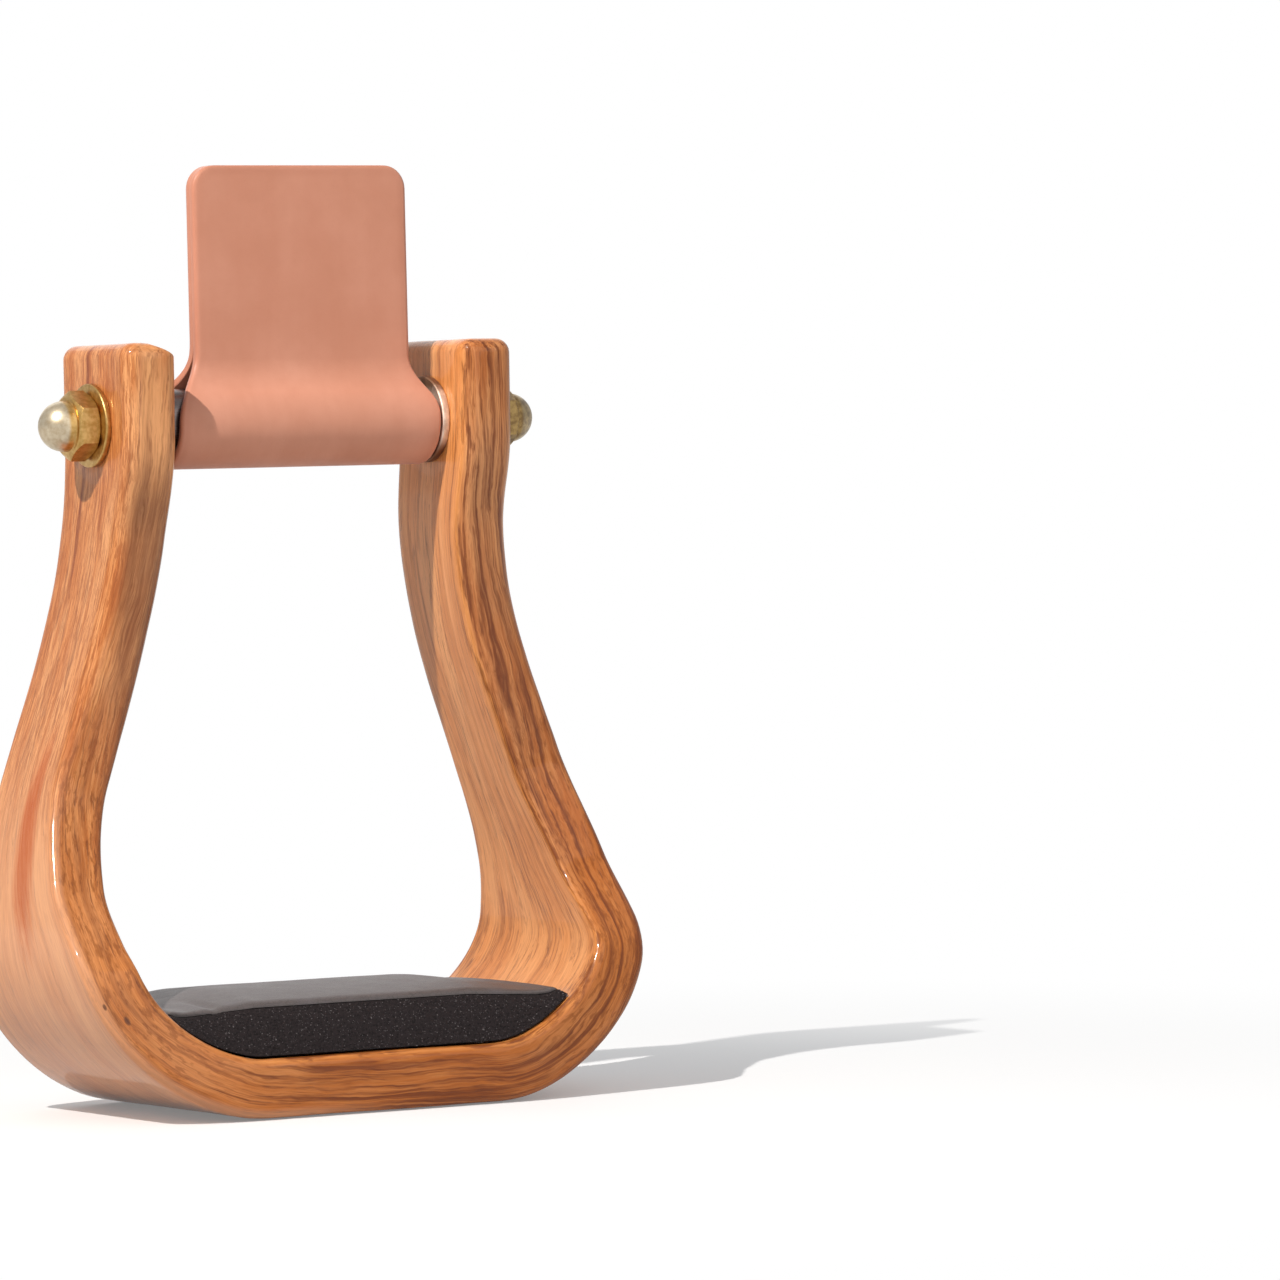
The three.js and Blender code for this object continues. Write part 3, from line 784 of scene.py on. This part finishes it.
ROD, BORE = 4.75, 5.05
BRASS_OUTER, BRASS_THICK, STEEL_OUTER, STEEL_THICK = 9.8, 1.5, 10.3, 2.0
TUBE_INNER, TUBE_OUTER, END_PLAY = 5.25, 8.25, 0.3
NUT_FLATS, NUT_HEX, NUT_DOME, NUT_HEIGHT, NUT_BORE = 14.3, 5.4, 5.9, 12.1, 7.6
# The nut's seat, its chamfers as (across, along), and the groove at the dome's foot
NUT_SEAT, LOW_CHAMFER, TOP_CHAMFER = 0.15, (1.25, 0.75), (1.5, 0.95)
DOME_FOOT = ((0.35, 0.02), (0.08, 0.14), (0.0, 0.45))
# The thread: 16 turns to the inch, its depth and length, and the rod's bevel and short ends
PITCH, THREAD_DEPTH, THREAD, ROD_BEVEL, ROD_SHORT = 1.5875, 0.85, 26.0, 0.9, 0.4


def turned(name, profile, steps, shape=None):
    """A closed profile of (radius, x) turned about the bar; shape may change a radius by angle.
    Where two neighbours of the profile lie on the axis, there is no face between them."""
    count = len(profile)
    points = []
    for step in range(steps):
        angle = 2 * pi * step / steps
        for radius, x in profile:
            r = shape(radius, x, angle) if shape else radius
            points.append((x, BAR_Y + r * cos(angle), BAR_Z + r * sin(angle)))
    mesh = new_mesh(name, points, [
        face for face in walls(count, steps)
        if profile[face[0] % count][0] or profile[face[1] % count][0]])
    face_outwards(mesh, merge=1e-6)
    return mesh


def rounded(profile, radii, steps=4):
    """Rounds a closed profile's corners, each by its own radius."""
    points = []
    corners = [np.array(point, float) for point in profile]
    for k, radius in enumerate(radii):
        here = corners[k]
        a, b = corners[k - 1] - here, corners[(k + 1) % len(corners)] - here
        a, b = a / np.linalg.norm(a), b / np.linalg.norm(b)
        half = acos(max(min(float(a @ b), 1), -1)) / 2
        reach = radius / tan(half)
        centre = here + (a + b) / np.linalg.norm(a + b) * radius / sin(half)
        start, end = here + a * reach - centre, here + b * reach - centre
        for step in range(steps + 1):
            t = step / steps
            mixed = start * (1 - t) + end * t
            points.append(tuple(centre + mixed / np.linalg.norm(mixed) * radius))
    return points


def washer(name, side, seat, outer, thickness, material, node):
    profile = rounded([
        (BORE, seat), (outer, seat), (outer, seat + thickness), (BORE, seat + thickness)],
        [0.15, 0.4, 0.4, 0.25])
    mesh = turned(name, [(radius, side * x) for radius, x in profile], 128)
    finished(name, mesh, material, node, 50)


def acorn_nut(name, side, node):
    """A domed nut: its profile runs from the mouth of the hole, round the outside, to its end."""
    base = OUTER_X + BRASS_THICK
    flat = NUT_FLATS / 2
    corner = flat / cos(pi / 6)
    seat = flat - NUT_SEAT
    (low_wide, low), (top_wide, top) = LOW_CHAMFER, TOP_CHAMFER
    profile = [(BORE, 0.0), (BORE + 0.35, 0.0), (seat, 0.0)]
    profile += [(seat + low_wide * t, low * t) for t in np.linspace(0, 1, 5)[1:]]
    profile += [(corner + 0.1, low + (NUT_HEX - low - top) * t)
                for t in np.linspace(0, 1, 14)[1:]]
    profile += [(flat + 1.1 - top_wide * t, NUT_HEX - top + top * t)
                for t in np.linspace(0, 1, 8)[1:]]
    profile += [(NUT_DOME + out, NUT_HEX + up) for out, up in DOME_FOOT]
    for angle in np.linspace(0, pi / 2, 22):
        profile.append((NUT_DOME * cos(angle) if angle < 1.57 else 0.0,
                        NUT_HEIGHT - NUT_DOME + NUT_DOME * sin(angle)))
    profile += [(0.0, NUT_BORE), (BORE - 0.5, NUT_BORE), (BORE, NUT_BORE - 0.4)]

    def hexed(radius, x, angle):
        """Draws what lies beyond the six flats in to them."""
        if radius < NUT_DOME + 0.3 or side * x - base > NUT_HEX:
            return radius
        turn = (angle + pi / 2) % (pi / 3) - pi / 6
        return min(radius, flat / cos(turn))

    mesh = turned(name, [(radius, side * (base + x)) for radius, x in profile], 180, hexed)
    finished(name, mesh, BRASS, node, 26)


def make_rod():
    """The rod, with a rolled thread over each end."""
    end = OUTER_X + BRASS_THICK + NUT_BORE - ROD_SHORT
    inner = end - ROD_BEVEL - THREAD
    count = int(round(THREAD / 0.2))
    left = [(ROD, -end + ROD_BEVEL + THREAD * k / count) for k in range(count + 1)]
    profile = [(0.0, -end), (ROD - ROD_BEVEL, -end), *left, *[(ROD, -x) for _, x in left[::-1]],
               (ROD - ROD_BEVEL, end), (0.0, end)]

    def threaded(radius, x, angle):
        if radius < ROD or abs(x) < inner:
            return radius
        fade = min((end - abs(x)) / 1.5, (abs(x) - inner) / 2.0, 1)
        ridge = abs(((x / PITCH - angle / (2 * pi)) % 1) * 2 - 1)
        return ROD - THREAD_DEPTH * max(fade, 0) * min(max(ridge * 1.25 - 0.12, 0), 1)

    mesh = turned("threaded_rod", profile, 48, threaded)
    finished("threaded_rod", mesh, ZINC, "axle_rod", 40)


def make_tube():
    half = INNER_X - STEEL_THICK - END_PLAY
    profile = rounded([
        (TUBE_INNER, -half), (TUBE_OUTER, -half), (TUBE_OUTER, half), (TUBE_INNER, half)],
        [0.2, 0.35, 0.35, 0.2])
    mesh = turned("roller_sleeve", profile, 96)
    finished("roller_sleeve", mesh, STEEL, "roller_tube", 50, "roller")


# The leather cover: one strip round the tube, its ends glued back to back into the flap

LEATHER_THICK, LOOP_INNER, GLUE = 2.1, 8.55, 0.03
FLAP_Y, FLAP_TOP, FLAP_HALF, ROLL_HALF = -2.7, 60.5, 27.8, 34.4
FOLD, SHOULDER, FLAP_CORNER, COVER_SHIFT = 12.0, 16.5, 5.6, 1.2
# How much further the roll reaches on the left and the flap on the right; how the cut edges are
# rounded; and how much thinner the flap's first three stations are
ROLL_LEFT, FLAP_RIGHT, RIM, TIGHT, RUBBED = 0.9, 1.4, 1.0, 0.95, (0.55, 0.22, 0.05)


def flare(height):
    """Half the cover's width at a height above the bar."""
    if height <= 0:
        return ROLL_HALF
    if height < SHOULDER:
        curve = bezier((ROLL_HALF, 0), (ROLL_HALF, 0.48 * SHOULDER),
                       (FLAP_HALF, 0.6 * SHOULDER), (FLAP_HALF, SHOULDER), 60)
        return float(np.interp(height, curve[:, 1], curve[:, 0]))
    above = height - (FLAP_TOP - FLAP_CORNER)
    if above <= 0:
        return FLAP_HALF
    return FLAP_HALF - FLAP_CORNER + sqrt(max(FLAP_CORNER ** 2 - above ** 2, 0))


def arc(y, z, radius, angles, outwards):
    """Points on an arc about (y, z), each with the direction in which the leather is thick."""
    return [((y + radius * cos(a), z + radius * sin(a)),
             (outwards * cos(a), outwards * sin(a))) for a in angles]


def cover_path():
    """The strip's inner face, from the front flap's top round the roll to the back flap's top."""
    wide = FOLD + LEATHER_THICK
    front_y, back_y = FLAP_Y - wide, FLAP_Y + GLUE + wide
    front_z, back_z = (sqrt((LOOP_INNER + wide) ** 2 - y ** 2) for y in (front_y, back_y))
    bottom = FLAP_TOP - FLAP_CORNER
    corner = [bottom + FLAP_CORNER * cos(a) for a in np.linspace(0.0, pi / 2, 10)]
    path = [((FLAP_Y, z), (-1.0, 0.0)) for z in (*corner, *np.linspace(bottom, front_z, 42)[1:])]
    path += arc(front_y, front_z, wide, np.linspace(0, atan2(-front_z, -front_y), 22)[1:], -1)
    path += arc(0, 0, LOOP_INNER, np.linspace(
        atan2(front_z, front_y), atan2(back_z, back_y) + 2 * pi, 84)[1:], 1)
    path += arc(back_y, back_z, wide, np.linspace(
        atan2(-back_z, -back_y) + 2 * pi, pi, 22)[1:], -1)
    return path + [((FLAP_Y + GLUE, z), (1.0, 0.0))
                   for z in (*np.linspace(back_z, bottom, 42)[1:], *corner[::-1][1:])]


def make_cover():
    stations, run, last = [], 0.0, None
    for (y, z), (out_y, out_z) in cover_path():
        if last:
            run += hypot(y - last[0], z - last[1])
        last = (y, z)
        height = z + out_z * LEATHER_THICK
        half = flare(height)
        up = min(max(height / SHOULDER, 0), 1)
        stations.append(dict(
            middle=(COVER_SHIFT, BAR_Y + y, BAR_Z + z), outward=(0, out_y, out_z), low=0.0,
            high=LEATHER_THICK, near=-half - ROLL_LEFT * (1 - up), far=half + FLAP_RIGHT * up,
            edge=RIM, tight=TIGHT * up, tip=FLAP_TOP - z, run=run))
    for k, inset in enumerate(RUBBED):
        for station in (stations[k], stations[-1 - k]):
            station["high"] -= inset
            station["low"] += inset * 0.2
            station["edge"] = min(RIM, (station["high"] - station["low"]) / 2 - 0.02)
    mesh = swept_strip("leather_wrap", stations, (1, 0, 0), section_mesh(30, 1, 5), LEATHER)
    finished("leather_wrap", mesh, LEATHER, "leather_cover", body="cover")


# The tread pad

PAD_LENGTH, PAD_THICK, PAD_END, PAD_LEVEL, PAD_DROP = 111.0, 12.4, 2.4, 52.0, 2.6
PAD_MARGIN, PAD_BEVEL, PAD_CROWN, SKIN_THICK, SEAT = 3.0, 8.0, 2.1, 1.2, 0.3
PAD_RINGS, CORE_SIDES, CORE_TOPS, SKIN_WIDE, SKIN_GAP = 230, 24, 14, 56, 0.02
# Foam cells as (depth, scale); the buckle's place, depth, length and width; the thinned ends
CELLS = ((0.3, 1.35), (0.14, 3.1))
BUCKLE_X, BUCKLE_Y, BUCKLE_DEPTH, BUCKLE_LONG, BUCKLE_WIDE = -46, -22, 0.75, 1.9, 9
END_THIN, END_REACH = 0.8, 1.6


def inner_spot(place):
    """The point of the wood's inner face beside a place on the centre line."""
    return tuple(at - out * WOOD / 2 for at, out in zip(place.at, place.out))


def inner_table():
    """Shares along the bow and their distances from the middle of the tread, on the inner face."""
    shares = np.linspace(1, 0.5, 401)
    spots = [inner_spot(bow_place(float(share), 1)) for share in shares]
    steps = np.hypot(*np.diff(np.array(spots), axis=0).T)
    return np.concatenate([[0], np.cumsum(steps)]), shares


INNER_RUNS, INNER_SHARES = inner_table()


def pad_section(along):
    """The pad's measures at a distance from the middle of the tread."""
    place = bow_place(
        float(np.interp(abs(along), INNER_RUNS, INNER_SHARES)), 1 if along >= 0 else -1)
    (x, z), (out_x, out_z) = inner_spot(place), place.out
    thickness = PAD_THICK
    for _ in range(12):
        past = max(abs(x - out_x * thickness) - PAD_LEVEL / 2, 0)
        past /= (PAD_LENGTH - PAD_LEVEL) / 2
        top = WOOD + PAD_THICK - PAD_DROP * past ** 1.2
        past = -(top - z) / out_z - PAD_END
        thickness = min(PAD_END + (past + hypot(past, PAD_END)) / 2, PAD_THICK)
    share = thickness / PAD_THICK
    return Measures(
        at=(x, z), out=(out_x, out_z), total=thickness, share=share,
        bevel=PAD_BEVEL * share ** 0.5, crown=PAD_CROWN * share ** 0.7,
        front=BAR_Y - place.front + PAD_MARGIN, back=BAR_Y + place.back - PAD_MARGIN)


def pad_points(section, ring):
    """Puts (y, height) pairs in their place above the wood."""
    (x, z), (out_x, out_z) = section.at, section.out
    return [(x - out_x * height, y, z - out_z * height) for y, height in ring]


def core_ring(along):
    section = pad_section(along)
    share, front, back = section.share, section.front, section.back
    top = section.total - SKIN_THICK - SKIN_GAP
    bevel = section.bevel * top / section.total

    def side(t):
        """The cut side: it bulges a little, and turns over softly at the top."""
        swell = 0.55 * sin(pi * t) * share
        turn = 0.35 * share * max(0.0, (t - 0.75) / 0.25) ** 2
        return bevel * t - swell + turn

    rise = [k / CORE_SIDES for k in range(CORE_SIDES + 1)]
    cross = [k / CORE_TOPS for k in range(1, CORE_TOPS)]
    inner, outer = front + side(1), back - side(1)
    ring = [(front + side(t), SEAT + (top - SEAT) * t) for t in rise]
    ring += [(inner + (outer - inner) * t, top + section.crown * (1 - (2 * t - 1) ** 2))
             for t in cross]
    ring += [(back - side(1 - t), SEAT + (top - SEAT) * (1 - t)) for t in rise]
    ring += [(back - (back - front) * t, SEAT) for t in cross]
    return pad_points(section, ring)


def skin_ring(along):
    """The skin's section, rounded over the foam's edges; its face is lower near the ends."""
    section = pad_section(along)
    share, total, crown = section.share, section.total, section.crown
    thin = END_THIN * max(0.0, 1 - (PAD_LENGTH / 2 - abs(along)) / END_REACH) ** 2
    front = section.front + section.bevel - 0.1
    back = section.back - section.bevel + 0.1
    middle, half = (front + back) / 2, (back - front) / 2
    round_over = 1.0 + 1.2 * share
    over, under = [], []
    for k in range(SKIN_WIDE + 1):
        # More points near the edges, where it turns over
        t = 0.5 - 0.5 * cos(pi * k / SKIN_WIDE)
        y = middle + half * (2 * t - 1)
        edge = max(0.0, 1 - (half - abs(y - middle)) / round_over)
        drop = (0.6 + 0.45 * share) * (1 - sqrt(max(0.0, 1 - edge * edge)))
        lift = total + crown * (1 - (2 * t - 1) ** 2)
        ripple = 0.1 * noise.noise((along * 0.11, y * 0.13, 4.0)) * (1 - edge)
        # The skin has buckled a little near the left end
        ripple -= BUCKLE_DEPTH * exp(
            -((along - BUCKLE_X + 0.12 * y) / BUCKLE_LONG) ** 2
            - ((y - BUCKLE_Y) / BUCKLE_WIDE) ** 2)
        over.append((y, lift - drop - thin + ripple * (1 - min(thin * 3, 1))))
        under.append((y, lift - SKIN_THICK))
    return pad_points(section, over + under[::-1])


def make_pad():
    places = [PAD_LENGTH / 2 - PAD_LENGTH * k / PAD_RINGS for k in range(PAD_RINGS + 1)]
    core = lofted("foam_core", [core_ring(along) for along in places])
    core_piece = finished("foam_core", core, FOAM, "tread_pad_core")
    # Open cells: every point sinks a little into the foam, by its own amount
    for vertex in core.vertices:
        spot = vertex.co * 1000
        depth = sum(deep * (0.5 + 0.5 * noise.noise(spot * scale)) for deep, scale in CELLS)
        vertex.co -= vertex.normal * depth * MM
    skin = lofted("pad_skin", [skin_ring(along) for along in places])
    skin_piece = finished("pad_skin", skin, SKIN, "tread_pad_skin", 60)


make_bow()
make_pad()
make_rod()
make_tube()
make_cover()
for word, side in (("left", -1), ("right", 1)):
    washer(word + "_brass_ring", side, OUTER_X, BRASS_OUTER, BRASS_THICK, BRASS,
           word + "_brass_washer")
    washer(word + "_zinc_ring", side, INNER_X - STEEL_THICK, STEEL_OUTER, STEEL_THICK, ZINC,
           word + "_steel_washer")
    acorn_nut(word + "_dome_nut", side, word + "_acorn_nut")


# Floor, light and camera. Here places, aims and lamp sizes are in metres

FLOOR_HALF, FLOOR_DROP = 6000, 0.2
GLOW_FROM, GLOW_FULL, GLOW_LEAST = 0.1, 0.42, 0.2
SKY, SKY_POWER = (0.93, 0.96, 1.0, 1), 0.34
WHITE = (1, 1, 1, 1)
AIM = (0, 0, 0.1)
# Each lamp's name, place, width, power and tint: the sun, and two broad soft ones
LAMPS = (("key", (-1.122, -0.499, 1.346), 0.03, 34.0, (1.0, 0.97, 0.93)),
         ("front", (0.3, -2.7, 1.4), 3.2, 19.5, (1, 1, 1)),
         ("back", (1.0, 2.2, 1.3), 2.6, 12.0, (1, 1, 1)))
# The camera's place and how it is turned: round the stirrup, down from level, and its roll
CAMERA_AT = (-0.8448, -1.5621, 0.1489)
CAMERA_TURNS = ((-31.01, "Z"), (90 - 1.338, "X"), (-1.358, "Z"))
FOCAL, PICTURE, SENSOR = 7500, 1280, 36.0    # the lens, in the picture's pixels, and the film


def make_floor():
    """A pale floor that glows white to the camera, and fades to its own shade under the piece."""
    mesh = new_mesh("floor", [(x * FLOOR_HALF, y * FLOOR_HALF, -FLOOR_DROP) for x, y in (
        (-1, -1), (1, -1), (1, 1), (-1, 1))], [(0, 1, 2, 3)])
    floor = put("floor", mesh)
    paint = Finish("pale_floor")
    camera = paint.node("ShaderNodeLightPath", (), "Is Camera Ray")
    pale = paint.shader(Roughness=0.9, Specular_IOR_Level=0.1, Base_Color=paint.blend(
        camera, (0.62, 0.62, 0.62, 1), (0.88, 0.88, 0.88, 1)))
    x, y, _ = paint.split(paint.node("ShaderNodeTexCoord", (), "Object"))
    away = ((x * x + y * y) ** 0.5).step(GLOW_FROM, GLOW_FULL) * (1 - GLOW_LEAST) + GLOW_LEAST
    glow = paint.node("ShaderNodeEmission", {"Color": WHITE, "Strength": 1.0})
    mixed = paint.node("ShaderNodeMixShader", [away * paint.seen(), pale, glow])
    mesh.materials.append(paint.ended(mixed))


def make_light():
    world = bpy.data.worlds.new("studio")
    bpy.context.scene.world = world
    world.use_nodes = True
    world.node_tree.nodes.clear()
    tree = Tree(world.node_tree)
    sky, white = (tree.node("ShaderNodeBackground", {"Color": tint, "Strength": power})
                  for tint, power in ((SKY, SKY_POWER), (WHITE, 1.0)))
    mixed = tree.node("ShaderNodeMixShader", [tree.seen(0.5), sky, white])
    tree.node("ShaderNodeOutputWorld", [mixed])
    for name, place, size, power, tint in LAMPS:
        light = bpy.data.lights.new(name, "AREA")
        light.shape, light.size, light.energy, light.color = "DISK", size, power, tint
        holder = put(name, light)
        holder.location = place
        holder.rotation_euler = (Vector(AIM) - Vector(place)).to_track_quat("-Z", "Y").to_euler()


def make_camera():
    data = bpy.data.cameras.new("camera")
    data.sensor_width, data.sensor_fit = SENSOR, "HORIZONTAL"
    data.lens = FOCAL * SENSOR / PICTURE
    data.clip_start, data.clip_end = 0.05, 50
    camera = put("camera", data)
    camera.matrix_world = Matrix.Translation(CAMERA_AT)
    for angle, axis in CAMERA_TURNS:
        camera.matrix_world @= Matrix.Rotation(radians(angle), 4, axis)
    bpy.context.scene.camera = camera


make_floor()
make_light()
make_camera()
bpy.context.scene.view_settings.view_transform = "Standard"
